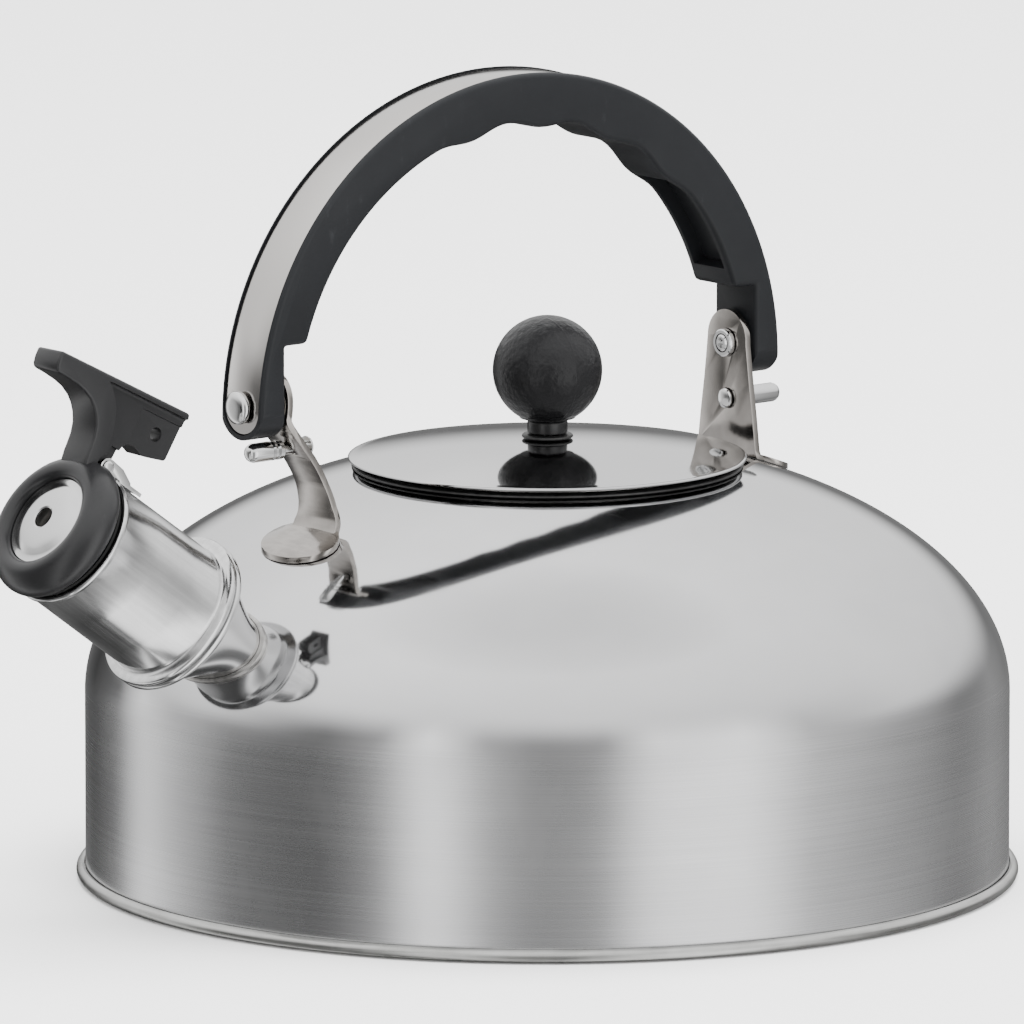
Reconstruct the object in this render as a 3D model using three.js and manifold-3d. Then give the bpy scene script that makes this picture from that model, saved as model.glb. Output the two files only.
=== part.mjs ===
import * as THREE from 'three';
import { mergeVertices } from 'three/addons/utils/BufferGeometryUtils.js';
import Module from 'manifold-3d';

// Stovetop whistling kettle. Millimetres, +Z up, the spout points along -X.
// The origin is the centre of the base, on the hob.

// driving dimensions
const bodyRadius = 109.8;
const wallTop = 44.6;
const domeRise = 58.6;
const sheet = 0.8;
const openingRadius = 46.4;
const knobRadius = 13;
const spoutTilt = 35.4;
const spoutStartZ = 67;
const sleeveRadius = 16.7;
const sleeveEnd = 51.6;
const leverThickness = 9.5;
const archCentreX = -13.6;
const archHalfSpan = 79.3;
const archRise = 75.4;
const pivotHeight = 121.8;
const archDrop = 3.4;
const handleWidth = 15.6;
const legThickness = 7.5;
const gripThickness = 11.4;
const stripThickness = 1.4;
const bracketSheet = 1.5;
const boltRadius = 2.0;
const gap = 0.3;
const seamLip = 2.2;
const flangeLip = 2.8;
const capLip = 1.3;
const lidOverhang = 0.9;
const lidHover = 2.85;
const lidBulge = 4.05;
const knobLift = 16.4;

const seamRadius = bodyRadius + seamLip;
const flangeRadius = sleeveRadius + flangeLip;
const capRadius = sleeveRadius + capLip;
const lidRadius = openingRadius + lidOverhang;
const pinN = sleeveRadius + 0.7;

const wasm = await Module();
wasm.setup();

const kettle = new THREE.Group();
kettle.name = 'stovetop_whistling_kettle';

const steel = { color: 0xc9cacb, roughness: 0.22, metalness: 1 };
const dullSteel = { color: 0xb4b1ac, roughness: 0.4, metalness: 1 };
const blackPlastic = { color: 0x1b1c1d, roughness: 0.42, metalness: 0 };
const blackRubber = { color: 0x101010, roughness: 0.75, metalness: 0 };

// Drop everything but positions, weld the corners and turn the faces outward.
function clean(geometry) {
  const bare = new THREE.BufferGeometry();
  bare.setAttribute('position', geometry.getAttribute('position').clone());
  if (geometry.index) bare.setIndex(geometry.index.clone());
  const welded = mergeVertices(bare, 1e-3);
  const spots = welded.getAttribute('position');
  const corners = welded.index.array;
  const kept = [];
  let volume = 0;
  const a = new THREE.Vector3();
  const b = new THREE.Vector3();
  const c = new THREE.Vector3();
  for (let i = 0; i < corners.length; i += 3) {
    const [p, q, r] = [corners[i], corners[i + 1], corners[i + 2]];
    if (p === q || q === r || r === p) continue;
    kept.push(p, q, r);
    a.fromBufferAttribute(spots, p);
    b.fromBufferAttribute(spots, q);
    c.fromBufferAttribute(spots, r);
    volume += a.dot(b.cross(c));
  }
  if (volume < 0) {
    for (let i = 0; i < kept.length; i += 3) {
      const swap = kept[i];
      kept[i] = kept[i + 1];
      kept[i + 1] = swap;
    }
  }
  welded.setIndex(kept);
  return welded;
}

function toSolid(geometry) {
  const welded = clean(geometry);
  return new wasm.Manifold(new wasm.Mesh({
    numProp: 3,
    vertProperties: new Float32Array(welded.getAttribute('position').array),
    triVerts: new Uint32Array(welded.index.array),
  }));
}

function toGeometry(solid) {
  const mesh = solid.getMesh();
  const geometry = new THREE.BufferGeometry();
  geometry.setAttribute('position', new THREE.BufferAttribute(new Float32Array(mesh.vertProperties), 3));
  geometry.setIndex(new THREE.BufferAttribute(new Uint32Array(mesh.triVerts), 1));
  return geometry;
}

function place(name, shape, look) {
  const geometry = shape.isBufferGeometry ? clean(shape) : toGeometry(shape);
  geometry.computeVertexNormals();
  const mesh = new THREE.Mesh(geometry, new THREE.MeshStandardMaterial(look));
  mesh.name = name;
  kettle.add(mesh);
  return mesh;
}

// Revolve [radius, height] pairs about the vertical axis.
function revolve(pairs, segments) {
  const points = pairs.map(([r, h]) => new THREE.Vector2(r, h));
  const geometry = new THREE.LatheGeometry(points, segments);
  geometry.rotateX(Math.PI / 2);
  return geometry;
}

function closed(pairs) {
  return [...pairs, pairs[0]];
}

function outlineShape(pairs) {
  return new THREE.Shape(pairs.map(([x, y]) => new THREE.Vector2(x, y)));
}

function slab(shape, thickness, bevel = 0, bevelSteps = 2, curveSegments = 16) {
  const geometry = new THREE.ExtrudeGeometry(shape, {
    depth: thickness - 2 * bevel,
    bevelEnabled: bevel > 0,
    bevelThickness: bevel,
    bevelSize: bevel,
    bevelOffset: -bevel,
    bevelSegments: bevelSteps,
    curveSegments,
    steps: 1,
  });
  geometry.translate(0, 0, bevel - thickness / 2);
  return geometry;
}

// Outline in the X-Z plane, thickness along Y.
function sideSlab(shape, thickness, bevel = 0, bevelSteps = 2) {
  const turn = new THREE.Matrix4().makeBasis(
    new THREE.Vector3(1, 0, 0),
    new THREE.Vector3(0, 0, 1),
    new THREE.Vector3(0, -1, 0),
  );
  return slab(shape, thickness, bevel, bevelSteps).applyMatrix4(turn);
}

// Outline in the Y-Z plane, thickness along X, from x0 to x1.
function frontSlab(shape, x0, x1) {
  const turn = new THREE.Matrix4().makeBasis(
    new THREE.Vector3(0, 1, 0),
    new THREE.Vector3(0, 0, 1),
    new THREE.Vector3(1, 0, 0),
  );
  const geometry = slab(shape, x1 - x0).applyMatrix4(turn);
  geometry.translate((x0 + x1) / 2, 0, 0);
  return geometry;
}

// Turn a piece built about the vertical axis so that its axis runs along X.
function alongX(geometry, x, y, z, flip = false) {
  geometry.rotateY(flip ? -Math.PI / 2 : Math.PI / 2);
  geometry.translate(x, y, z);
  return geometry;
}

function rod(radius, length, segments = 24) {
  const geometry = new THREE.CylinderGeometry(radius, radius, length, segments);
  geometry.rotateX(Math.PI / 2);
  return geometry;
}

// ---- body

function domePoint(t, offset) {
  const nr = Math.cos(t) / bodyRadius;
  const nz = Math.sin(t) / domeRise;
  const size = Math.hypot(nr, nz);
  return [
    bodyRadius * Math.cos(t) + offset * nr / size,
    wallTop + domeRise * Math.sin(t) + offset * nz / size,
  ];
}

function domeCurve(offset, tEnd, steps) {
  const out = [];
  for (let i = 0; i <= steps; i += 1) {
    out.push(domePoint(tEnd * i / steps, offset));
  }
  return out;
}

function domeRadius(height) {
  return bodyRadius * Math.sqrt(1 - ((height - wallTop) / domeRise) ** 2);
}

function domeHeight(radius) {
  return wallTop + domeRise * Math.sqrt(1 - (radius / bodyRadius) ** 2);
}

function domeSolid(offset) {
  const curve = domeCurve(offset, Math.PI / 2, 22);
  curve[curve.length - 1][0] = 0;
  return toSolid(revolve([[0, 1], [bodyRadius + offset, 1], ...curve], 64));
}

const openingAngle = Math.acos(openingRadius / bodyRadius);
const rimHeight = domeHeight(openingRadius);
const lidEdge = rimHeight + lidHover;
const lidCrown = lidEdge + lidBulge;
const knobCentre = lidCrown + knobLift;
const outerCurve = domeCurve(0, openingAngle, 11);
const innerCurve = domeCurve(-sheet, openingAngle, 11).reverse();
place('body_wall', revolve(closed([
  [bodyRadius, 1.8],
  [bodyRadius, wallTop - gap],
  [bodyRadius - sheet, wallTop - gap],
  [bodyRadius - sheet, 1.8],
]), 64), steel);

// spout frame: s along the axis away from the body, n square to it in the X-Z plane, y sideways
const tilt = spoutTilt * Math.PI / 180;
const alongSpout = new THREE.Vector3(-Math.cos(tilt), 0, Math.sin(tilt));
const acrossSpout = new THREE.Vector3(Math.sin(tilt), 0, Math.cos(tilt));
const sideways = new THREE.Vector3(0, 1, 0);
const spoutStartX = -(domeRadius(spoutStartZ) + 0.14);
const spoutStart = new THREE.Vector3(spoutStartX, 0, spoutStartZ);

// Built with radius in X-Y and s up: carried onto the spout axis.
function onSpout(geometry) {
  const turn = new THREE.Matrix4().makeBasis(acrossSpout, sideways, alongSpout);
  turn.setPosition(spoutStart);
  if (turn.determinant() < 0) turn.makeBasis(acrossSpout, sideways.clone().negate(), alongSpout);
  turn.setPosition(spoutStart);
  return geometry.applyMatrix4(turn);
}

// Outline in (s, n), thickness along Y.
function spoutSlab(pairs, thickness, bevel = 0, offsetY = 0) {
  const turn = new THREE.Matrix4().makeBasis(alongSpout, acrossSpout, sideways);
  turn.setPosition(spoutStart);
  const geometry = slab(outlineShape(pairs), thickness, bevel);
  geometry.translate(0, 0, offsetY);
  return geometry.applyMatrix4(turn);
}

// Round bar across the spout frame, parallel to Y, at (s, n).
function crossBar(radius, s, n, y0, y1, segments = 20) {
  const geometry = rod(radius, y1 - y0, segments);
  geometry.translate(0, 0, (y0 + y1) / 2);
  const turn = new THREE.Matrix4().makeBasis(alongSpout, acrossSpout, sideways);
  turn.setPosition(spoutStart.clone().addScaledVector(alongSpout, s).addScaledVector(acrossSpout, n));
  return geometry.applyMatrix4(turn);
}

let dome = toSolid(revolve(closed([...outerCurve, ...innerCurve]), 64));
const strainerRadius = 2.0;
const strainerPitch = 5.0;
const strainerRows = [
  [-1, [-1, 1]],
  [0, [-2, -1, 0, 1, 2]],
  [1, [-1, 1]],
];
for (const [row, columns] of strainerRows) {
  for (const column of columns) {
    const drill = rod(strainerRadius, 30, 10);
    drill.translate(row * strainerPitch * 0.94, column * strainerPitch, 0);
    dome = dome.subtract(toSolid(onSpout(drill)));
  }
}
place('body_dome', dome, steel);

const collarInner = openingRadius - 2.8;
const collarOuter = collarInner + sheet;
place('filling_collar', revolve(closed([
  [collarInner, rimHeight - 8.7],
  [collarOuter, rimHeight - 8.7],
  [collarOuter, rimHeight + 0.5],
  [openingRadius + 0.2, rimHeight + 0.45],
  [openingRadius + 1.0, rimHeight + 0.35],
  [openingRadius + 1.2, rimHeight + 0.8],
  [openingRadius + 0.6, rimHeight + 1.2],
  [collarInner + 0.5, rimHeight + 1.4],
  [collarInner, rimHeight + 1.0],
]), 56), steel);

place('base_plate', revolve([
  [0, 2.7],
  [bodyRadius - 6.3, 2.7],
  [bodyRadius - 2.6, 0.5],
  [bodyRadius - 1.2, 0],
  [seamRadius - 1.3, 0],
  [seamRadius - 0.4, 0.4],
  [seamRadius, 1.2],
  [seamRadius, 2.2],
  [seamRadius - 0.5, 2.9],
  [seamRadius - 1.2, 3.2],
  [bodyRadius + gap, 3.0],
  [bodyRadius + gap, 1.5],
  [bodyRadius - sheet - gap, 1.5],
  [bodyRadius - sheet - gap, 3.0],
  [bodyRadius - 4.8, 3.7],
  [0, 3.7],
], 64), dullSteel);

place('base_heat_disc', revolve([
  [0, 0],
  [bodyRadius - 14.2, 0],
  [bodyRadius - 13.2, 0.5],
  [bodyRadius - 13.2, 2.4],
  [0, 2.4],
], 48), dullSteel);

// ---- spout

const neckTop = 14.2;
const neckPinch = 0.42;

// The neck goes from a round flange to a flattened oval root on the dome.
function pinch(geometry) {
  const spots = geometry.getAttribute('position');
  for (let i = 0; i < spots.count; i += 1) {
    const run = Math.min(1, Math.max(0, (neckTop - 2 - spots.getZ(i)) / (neckTop - 2)));
    const ease = run * run * (3 - 2 * run);
    spots.setX(i, spots.getX(i) * (1 - neckPinch * ease));
  }
  return geometry;
}

function neckWall(radius, from, to, step) {
  const out = [];
  for (let h = from; h < to - 0.01; h += step) out.push([radius, h]);
  out.push([radius, to]);
  return out;
}

const domeClear = domeSolid(gap);
const neckOuter = sleeveRadius - 0.6;
const neck = toSolid(onSpout(pinch(revolve(closed([
  ...neckWall(neckOuter, -9, neckTop - 2.2, 3),
  [flangeRadius - 0.6, neckTop - 1.7],
  [flangeRadius, neckTop - 1.3],
  [flangeRadius, neckTop - 0.5],
  [flangeRadius - 0.5, neckTop],
  [neckOuter - 1.1, neckTop],
  ...neckWall(neckOuter - 1.1, -9, neckTop - 2.2, 3).reverse(),
]), 36)))).subtract(domeClear);
place('spout_neck', neck, steel);

const weldBand = toSolid(onSpout(pinch(revolve(closed([
  ...neckWall(neckOuter + 0.35, -9, 6, 3),
  ...neckWall(neckOuter + 1.7, -9, 6, 3).reverse(),
]), 36))));
const weldBead = weldBand.intersect(domeSolid(1.4)).subtract(domeClear);
place('spout_weld', weldBead, dullSteel);

place('spout_sleeve', onSpout(revolve(closed([
  [sleeveRadius - 1.6, neckTop + gap],
  [flangeRadius - 0.5, neckTop + gap],
  [flangeRadius, neckTop + gap + 0.5],
  [flangeRadius, neckTop + gap + 1.3],
  [flangeRadius - 0.6, neckTop + gap + 1.8],
  [sleeveRadius + 0.6, neckTop + gap + 1.9],
  [sleeveRadius, neckTop + gap + 2.5],
  [sleeveRadius - 0.1, sleeveEnd - 1.4],
  [sleeveRadius + 0.35, sleeveEnd - 0.9],
  [sleeveRadius + 0.3, sleeveEnd - 0.2],
  [sleeveRadius - 0.1, sleeveEnd],
  [sleeveRadius - 1.2, sleeveEnd - 0.5],
  [sleeveRadius - 1.2, neckTop + 3.8],
  [sleeveRadius - 1.6, neckTop + 2.5],
]), 36)), steel);

// ---- whistle cap with its lever

const pinS = 55;
const pinRadius = 0.9;
const recessRadius = 11.2;
const capBore = 9.5;

let cap = toSolid(onSpout(revolve(closed([
  [capBore, 53.2],
  [capRadius - 2.1, 53.2],
  [capRadius - 0.8, 53.8],
  [capRadius - 0.15, 55.0],
  [capRadius, 56.3],
  [capRadius - 0.4, 58.0],
  [capRadius - 1.4, 59.7],
  [capRadius - 2.7, 60.9],
  [capRadius - 4.1, 61.6],
  [12.8, 61.6],
  [11.8, 61.1],
  [recessRadius, 60.2],
  [recessRadius, 58.5],
  [capBore, 58.5],
]), 36)));

// The lever is drawn above a pin at 17.4 and follows the pin when the sleeve changes.
const leverLift = pinN - 17.4;

function lifted(outline) {
  return outline.map(([s, n]) => [s, n + leverLift]);
}

const leverOutline = [
  [52.9, 14.5],
  [60.2, 13.4],
  [61.3, 15.6],
  [61.8, 18.6],
  [62.4, 22.0],
  [64.5, 25.6],
  [68.2, 28.2],
  [73.4, 29.1],
  [80.4, 28.6],
  [81.5, 30.8],
  [81.9, 33.4],
  [40.3, 39.8],
  [39.9, 38.4],
  [39.3, 27.4],
  [46.2, 25.2],
  [49.2, 25.8],
  [51.6, 25.3],
  [52.8, 23.8],
];
cap = cap.add(toSolid(spoutSlab(lifted(leverOutline), leverThickness, 1.0)));

const webOutline = [
  [56.4, 21.8],
  [57.6, 25.2],
  [60.9, 29.9],
  [65.8, 32.6],
  [54.4, 34.4],
  [52.8, 27.4],
  [54.6, 25.4],
  [55.0, 21.9],
];
const pocketOutline = [
  [52.2, 34.8],
  [50.6, 27.4],
  [46.2, 26.9],
  [41.0, 28.6],
  [41.8, 36.6],
];
const webDepth = 1.8;
const pocketDepth = 2.6;
for (const side of [-1, 1]) {
  const half = leverThickness / 2;
  cap = cap.subtract(toSolid(spoutSlab(lifted(webOutline), webDepth * 2, 0, side * half)));
  cap = cap.subtract(toSolid(spoutSlab(lifted(pocketOutline), pocketDepth * 2, 0, side * half)));
}
cap = cap.subtract(toSolid(crossBar(1.7, 45.2, 31.3 + leverLift, -8, 8, 20)));
cap = cap.subtract(toSolid(crossBar(pinRadius + gap, pinS, pinN, -8, 8, 20)));
for (const side of [-1, 1]) {
  const middle = side * 4.3;
  const slot = toSolid(spoutSlab([
    [47, pinN - 3.6],
    [55.4, pinN - 3.6],
    [55.4, pinN + 5.4],
    [47, pinN + 5.4],
  ], 4.2, 0, middle));
  const round = toSolid(crossBar(3.0, pinS, pinN, middle - 2.1, middle + 2.1, 24));
  cap = cap.subtract(slot).subtract(round);
}
place('whistle_cap', cap, blackPlastic);

place('whistle_disc_outer', onSpout(revolve(closed([
  [2.6, 60.6],
  [5.2, 60.3],
  [7.8, 59.7],
  [9.6, 58.8],
  [10.9, 58.8],
  [10.9, 59.4],
  [9.8, 59.4],
  [8.0, 60.3],
  [5.3, 60.9],
  [2.6, 61.2],
]), 28)), steel);

place('whistle_disc_inner', onSpout(revolve(closed([
  [2.4, 54.9],
  [5.0, 55.2],
  [7.0, 56.1],
  [8.2, 57.6],
  [9.2, 57.6],
  [9.2, 58.2],
  [7.9, 58.2],
  [6.6, 56.6],
  [4.8, 55.8],
  [2.4, 55.5],
]), 24)), dullSteel);

place('whistle_seal', onSpout(revolve(closed([
  [10.2, sleeveEnd + gap],
  [12.6, sleeveEnd + gap],
  [13.2, sleeveEnd - 2.4],
  [sleeveRadius - 2.4, sleeveEnd - 2.4],
  [sleeveRadius - 2.0, sleeveEnd + gap],
  [capRadius - 2.0, sleeveEnd + gap],
  [capRadius - 2.0, sleeveEnd + gap + 0.7],
  [10.2, sleeveEnd + gap + 0.7],
]), 30)), blackRubber);

// hinge on top of the sleeve
const saddleFoot = sleeveRadius + gap;
const hingeBand = toSolid(onSpout(revolve(closed([
  [saddleFoot, 42.6],
  [saddleFoot, 49.8],
  [saddleFoot + 0.9, 49.8],
  [saddleFoot + 0.9, 42.6],
]), 72)));
let hinge = hingeBand.intersect(toSolid(spoutSlab([
  [42.6, sleeveRadius - 6],
  [49.8, sleeveRadius - 6],
  [49.8, sleeveRadius + 6],
  [42.6, sleeveRadius + 6],
], 10.4)));
const lipClear = toSolid(onSpout(rod(sleeveRadius + 0.35 + gap, 104.4, 72)));
const sleeveClear = toSolid(onSpout(rod(saddleFoot + 0.05, 100, 72)));
for (const side of [-1, 1]) {
  const ear = toSolid(spoutSlab([
    [46.0, pinN - 1.2],
    [50.0, pinN - 1.2],
    [52.6, pinN - 1.2],
    [54.0, pinN - 2.0],
    [55.0, pinN - 2.2],
    [56.3, pinN - 1.8],
    [57.0, pinN - 0.9],
    [57.2, pinN + 0.2],
    [56.7, pinN + 1.4],
    [55.7, pinN + 2.1],
    [54.4, pinN + 2.1],
    [50.6, pinN + 1.8],
    [47.0, pinN + 0.2],
  ], 0.9, 0, side * 4.75));
  hinge = hinge.add(ear.subtract(sleeveClear));
}
const lipZone = toSolid(spoutSlab([[50.1, 0], [52.2, 0], [52.2, sleeveRadius + 14], [50.1, sleeveRadius + 14]], 20));
hinge = hinge.subtract(lipClear.intersect(lipZone));
hinge = hinge.subtract(toSolid(crossBar(pinRadius + gap, pinS, pinN, -8, 8, 20)));
place('hinge_bracket', hinge, dullSteel);

const pinProfile = [
  [0, -5.95],
  [1.3, -5.95],
  [1.5, -5.75],
  [1.5, -5.5],
  [pinRadius, -5.5],
  [pinRadius, 5.5],
  [1.5, 5.5],
  [1.5, 5.75],
  [1.3, 5.95],
  [0, 5.95],
];
const hingePin = revolve(pinProfile, 16);
const pinTurn = new THREE.Matrix4().makeBasis(alongSpout, acrossSpout, sideways);
pinTurn.setPosition(spoutStart.clone().addScaledVector(alongSpout, pinS).addScaledVector(acrossSpout, pinN));
place('hinge_pin', hingePin.applyMatrix4(pinTurn), dullSteel);

// torsion spring round the pin, beside the lever root
const springPath = [];
const coilRadius = 1.55;
const coilTurns = 2.25;
springPath.push(new THREE.Vector3(-5.2, coilRadius + 0.55, 2.75));
springPath.push(new THREE.Vector3(-2.6, coilRadius + 0.3, 2.75));
for (let i = 0; i <= 36; i += 1) {
  const turn = Math.PI / 2 - coilTurns * Math.PI * 2 * i / 36;
  springPath.push(new THREE.Vector3(coilRadius * Math.cos(turn), coilRadius * Math.sin(turn), 2.75 + 0.95 * i / 36));
}
springPath.push(new THREE.Vector3(coilRadius + 0.05, 1.6, 3.72));
const springCurve = new THREE.CatmullRomCurve3(springPath, false, 'centripetal');
const wire = new THREE.Shape();
wire.absarc(0, 0, 0.19, 0, Math.PI * 2, false);
const spring = new THREE.ExtrudeGeometry(wire, {
  extrudePath: springCurve,
  steps: 60,
  curveSegments: 2,
  bevelEnabled: false,
});
place('whistle_spring', spring.applyMatrix4(pinTurn), dullSteel);

// ---- lid

function lidTop(radius) {
  const edge = lidRadius - 1.0;
  const drop = lidCrown - lidEdge;
  const ball = (edge * edge + drop * drop) / (2 * drop);
  return lidCrown - ball + Math.sqrt(ball * ball - radius * radius);
}

const screwClear = boltRadius + gap;
const lidUpper = [];
const lidLower = [];
for (let i = 0; i <= 6; i += 1) {
  const radius = screwClear + (lidRadius - 1.0 - screwClear) * i / 6;
  lidUpper.push([radius, lidTop(radius)]);
}
for (let i = 4; i >= 0; i -= 1) {
  const radius = screwClear + (lidRadius - 1.6 - screwClear) * i / 4;
  lidLower.push([radius, lidTop(radius) - 0.9]);
}
place('lid_plate', revolve(closed([
  ...lidUpper,
  [lidRadius - 0.2, lidEdge - 0.1],
  [lidRadius, lidEdge - 0.35],
  [lidRadius - 0.1, lidEdge - 0.7],
  [lidRadius - 0.7, lidEdge - 0.8],
  ...lidLower,
]), 56), steel);

const ringRadius = openingRadius - 3.8;
const ringFoot = rimHeight - 5.3;
place('lid_locating_ring', revolve(closed([
  [ringRadius - 3.6, lidTop(ringRadius - 3.6) - 1.3],
  [ringRadius - 1.0, lidTop(ringRadius - 1.0) - 1.3],
  [ringRadius, lidTop(ringRadius) - 2.0],
  [ringRadius, ringFoot],
  [ringRadius - 0.8, ringFoot],
  [ringRadius - 0.8, lidTop(ringRadius - 0.8) - 2.4],
  [ringRadius - 1.6, lidTop(ringRadius - 1.6) - 2.1],
  [ringRadius - 3.6, lidTop(ringRadius - 3.6) - 2.1],
]), 40), dullSteel);

const knobFlat = lidCrown + 4.8;
const knobPoints = [[0, knobFlat + 8.3], [screwClear, knobFlat + 8.3], [screwClear, knobFlat], [4.9, knobFlat]];
const flatAngle = Math.asin((knobFlat + 0.5 - knobCentre) / knobRadius);
for (let i = 0; i <= 11; i += 1) {
  const turn = flatAngle + (Math.PI / 2 - flatAngle) * i / 11;
  knobPoints.push([i === 11 ? 0 : knobRadius * Math.cos(turn), knobCentre + knobRadius * Math.sin(turn)]);
}
place('lid_knob', revolve(knobPoints, 28), blackPlastic);

place('knob_collar', revolve(closed([
  [screwClear, lidCrown + 1.4],
  [4.6, lidCrown + 1.4],
  [4.8, lidCrown + 1.8],
  [4.8, knobFlat - 0.7],
  [4.6, knobFlat - gap],
  [screwClear, knobFlat - gap],
]), 20), steel);

place('knob_washer', revolve(closed([
  [screwClear, lidCrown + 0.35],
  [5.8, lidCrown + 0.2],
  [6.1, lidCrown + 0.4],
  [6.1, lidCrown + 0.8],
  [5.8, lidCrown + 1.1],
  [screwClear, lidCrown + 1.1],
]), 20), steel);

place('lid_screw', revolve([
  [0, lidCrown - 3.8],
  [3.6, lidCrown - 3.8],
  [4.2, lidCrown - 3.2],
  [4.2, lidCrown - 2.0],
  [boltRadius, lidCrown - 2.0],
  [boltRadius, knobFlat + 7.6],
  [0, knobFlat + 7.6],
], 24), dullSteel);

place('lid_screw_washer', revolve(closed([
  [screwClear, lidCrown - 1.75],
  [6.0, lidCrown - 1.75],
  [6.0, lidCrown - 1.25],
  [screwClear, lidCrown - 1.25],
]), 20), dullSteel);

// ---- handle

function archPoint(t, inset) {
  const nx = Math.cos(t) / archHalfSpan;
  const nz = Math.sin(t) / archRise;
  const size = Math.hypot(nx, nz);
  return [
    archCentreX + archHalfSpan * Math.cos(t) - inset * nx / size,
    pivotHeight - archDrop + archRise * Math.sin(t) - inset * nz / size,
  ];
}

const archEnd = pivotHeight - handleWidth / 2 - 1;
const stepHeight = pivotHeight + 14.5;

function archOutline(outerInset, innerInset, steps) {
  const out = [];
  const low = archEnd - 4;
  out.push([archCentreX - archHalfSpan + outerInset, low]);
  for (let i = 0; i <= steps; i += 1) out.push(archPoint(Math.PI * (1 - i / steps), outerInset));
  out.push([archCentreX + archHalfSpan - outerInset, low]);
  out.push([archCentreX + archHalfSpan - innerInset, low]);
  for (let i = 0; i <= steps; i += 1) out.push(archPoint(Math.PI * i / steps, innerInset));
  out.push([archCentreX - archHalfSpan + innerInset, low]);
  return out;
}

// Keeps the part of the arch above a half-round end of the given radius about the pivot line.
function endMask(radius) {
  const shape = new THREE.Shape();
  shape.moveTo(-radius, 230);
  shape.lineTo(-radius, pivotHeight);
  shape.absarc(0, pivotHeight, radius, Math.PI, Math.PI * 2, false);
  shape.lineTo(radius, 230);
  shape.closePath();
  return toSolid(frontSlab(shape, -120, 100));
}

const waveFrom = -22;
const wavePitch = 18;
const waveCount = 4;
const waveDepth = 1.7;

function gripOutline() {
  const out = [];
  const low = archEnd - 4;
  const legLeft = archCentreX - archHalfSpan;
  const legRight = archCentreX + archHalfSpan;
  out.push([legLeft, low]);
  const outerSteps = 32;
  for (let i = 0; i <= outerSteps; i += 1) out.push(archPoint(Math.PI * (1 - i / outerSteps), 0));
  out.push([legRight, low]);
  out.push([legRight - legThickness, low]);
  out.push([legRight - legThickness, stepHeight]);
  const start = 0.235;
  const innerSteps = 50;
  for (let i = 0; i <= innerSteps; i += 1) {
    const t = start + (Math.PI - 2 * start) * i / innerSteps;
    const lean = (Math.PI / 2 - t) * 180 / Math.PI;
    let inset = gripThickness;
    if (lean > waveFrom && lean < waveFrom + waveCount * wavePitch) {
      inset += waveDepth / 2 * (1 - Math.cos((lean - waveFrom) / wavePitch * Math.PI * 2));
    }
    out.push(archPoint(t, inset));
  }
  out.push([legLeft + legThickness, stepHeight]);
  out.push([legLeft + legThickness, low]);
  return out;
}

let grip = toSolid(sideSlab(outlineShape(gripOutline()), handleWidth, 1.1, 1));
grip = grip.intersect(endMask(handleWidth / 2));
const channel = toSolid(sideSlab(outlineShape(archOutline(-3, stripThickness + gap, 32)), handleWidth - 1.6));
grip = grip.subtract(channel.intersect(endMask(handleWidth / 2 - 0.8)));
for (const side of [0, 1]) {
  const coreOut = [];
  const from = 0.16;
  const to = 0.82;
  const steps = 8;
  for (let i = 0; i <= steps; i += 1) {
    const t = from + (to - from) * i / steps;
    coreOut.push(archPoint(side ? Math.PI - t : t, legThickness + 0.5));
  }
  for (let i = steps; i >= 0; i -= 1) {
    const t = from + (to - from) * i / steps;
    coreOut.push(archPoint(side ? Math.PI - t : t, gripThickness + 4));
  }
  grip = grip.subtract(toSolid(sideSlab(outlineShape(coreOut), handleWidth - 4.4)));
}
const boltHole = alongX(rod(boltRadius + gap, 220, 20), 0, 0, pivotHeight);
grip = grip.subtract(toSolid(boltHole.clone()));
place('handle_grip', grip, blackPlastic);

let strip = toSolid(sideSlab(outlineShape(archOutline(0, stripThickness, 32)), handleWidth - 1.6 - 2 * gap));
strip = strip.intersect(endMask(handleWidth / 2 - 0.8 - gap));
strip = strip.subtract(toSolid(boltHole.clone()));
place('handle_strip', strip, steel);

// ---- handle brackets on the dome

const domeFootLow = domeSolid(gap);
const domeFootHigh = domeSolid(gap + 1.2);

function ovalPrism(cx, halfX, halfY) {
  const shape = new THREE.Shape();
  shape.absellipse(cx, 0, halfX, halfY, 0, Math.PI * 2, false);
  const geometry = slab(shape, 60, 0, 2, 12);
  geometry.translate(0, 0, 95);
  return toSolid(geometry);
}

// Strip outline in the X-Z plane from a centre path.
function ribbon(path, thickness) {
  const left = [];
  const right = [];
  path.forEach(([x, z], i) => {
    const [px, pz] = path[Math.max(0, i - 1)];
    const [qx, qz] = path[Math.min(path.length - 1, i + 1)];
    const length = Math.hypot(qx - px, qz - pz);
    const nx = -(qz - pz) / length;
    const nz = (qx - px) / length;
    left.push([x + nx * thickness / 2, z + nz * thickness / 2]);
    right.push([x - nx * thickness / 2, z - nz * thickness / 2]);
  });
  return outlineShape([...left, ...right.reverse()]);
}

function smooth(path, count) {
  const curve = new THREE.SplineCurve(path.map(([x, z]) => new THREE.Vector2(x, z)));
  return curve.getPoints(count).map((p) => [p.x, p.y]);
}

const frontFace = archCentreX - archHalfSpan + legThickness;
const rearFace = archCentreX + archHalfSpan - legThickness;
const frontPlateX = frontFace + 1.2 + bracketSheet / 2;
const rearPlateX = rearFace - 1.2 - bracketSheet / 2;
const bracketTop = pivotHeight + 8;

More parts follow.
